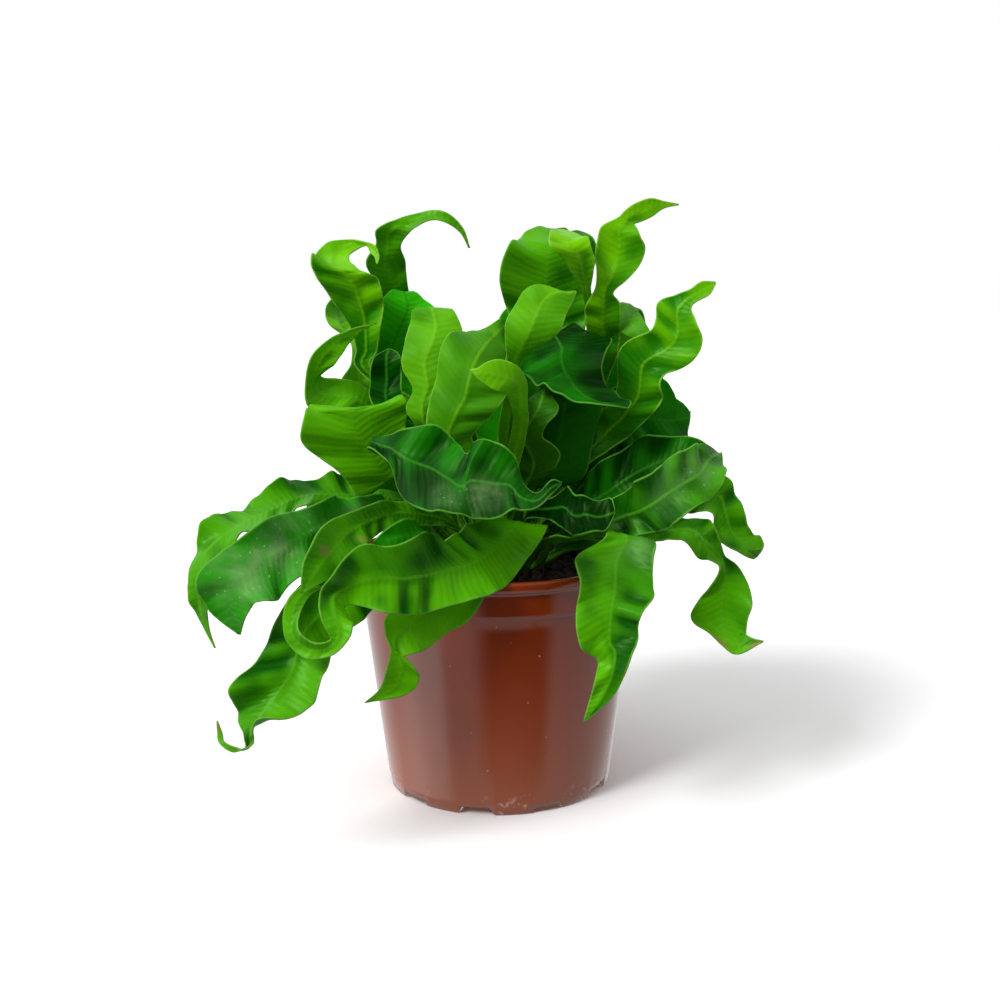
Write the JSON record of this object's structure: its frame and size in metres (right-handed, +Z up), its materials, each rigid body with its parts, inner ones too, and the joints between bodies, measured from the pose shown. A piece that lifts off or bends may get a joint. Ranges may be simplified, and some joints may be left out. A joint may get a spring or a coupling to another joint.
{
  "type": "potted fern",
  "caption": "Bird's-nest fern with glossy, waved strap fronds arching and curling from one crown, in a round tapered nursery pot with foot notches.",
  "frame": {"origin": "middle of the pot's flat base, on the surface it stands on", "axes": "+Z up along the pot's axis, -Y towards the plant's front, +X to the right seen from the front"},
  "size_m": [0.2197, 0.2024, 0.2372],
  "materials": {
    "pot": "glossy red-brown moulded plastic",
    "potting_mix": "dark damp peat and bark",
    "crown": "brown scaly rhizome",
    "leaf_bright": "glossy young yellow-green leaf",
    "leaf_mid": "glossy mid-green leaf",
    "leaf_dark": "glossy dark green leaf"
  },
  "bodies": {
    "root": {"pot": "pot", "potting_mix": "potting_mix", "crown": "crown", "frond_front_sweep": "leaf_mid", "frond_lower_left_hang": "leaf_mid", "frond_left_arch_front": "leaf_dark", "frond_left_arch_back": "leaf_mid", "frond_left_short_curl": "leaf_mid", "frond_front_left_dark": "leaf_dark", "frond_left_broad": "leaf_mid", "frond_left_fold_over": "leaf_dark", "frond_left_hook": "leaf_mid", "frond_left_back_curl": "leaf_mid", "frond_upper_left_funnel": "leaf_bright", "frond_upper_left_horn": "leaf_mid", "frond_back_left_lobe": "leaf_dark", "frond_inner_left": "leaf_dark", "frond_middle_left_tall": "leaf_bright", "frond_middle_bright": "leaf_bright", "frond_middle_shell": "leaf_bright", "frond_middle_flap": "leaf_bright", "frond_upper_middle_dome": "leaf_mid", "frond_upper_middle_curl": "leaf_bright", "frond_right_spiral_tall": "leaf_bright", "frond_right_spiral_low": "leaf_bright", "frond_right_shelf": "leaf_dark", "frond_centre_curl": "leaf_mid", "frond_centre_dark": "leaf_dark", "frond_right_lobe": "leaf_dark", "frond_inner_right": "leaf_dark", "frond_inner_middle": "leaf_dark", "frond_right_back_flap": "leaf_mid", "frond_right_dark": "leaf_dark", "frond_right_sheen": "leaf_mid", "frond_right_droop": "leaf_mid", "frond_right_hang": "leaf_mid", "frond_front_hang": "leaf_mid", "frond_front_low": "leaf_mid", "frond_front_crinkle": "leaf_dark", "frond_far_right_low": "leaf_mid", "frond_far_right": "leaf_dark", "frond_far_middle_right": "leaf_mid", "frond_far_middle_left": "leaf_dark", "frond_far_left": "leaf_mid", "frond_far_left_low": "leaf_dark", "frond_far_upright_right": "leaf_mid", "frond_far_upright_left": "leaf_mid", "frond_back_right": "leaf_mid", "frond_back_middle_right": "leaf_dark", "frond_back_middle_left": "leaf_mid", "frond_back_left": "leaf_dark", "frond_side_left": "leaf_mid"}
  },
  "joints": []
}
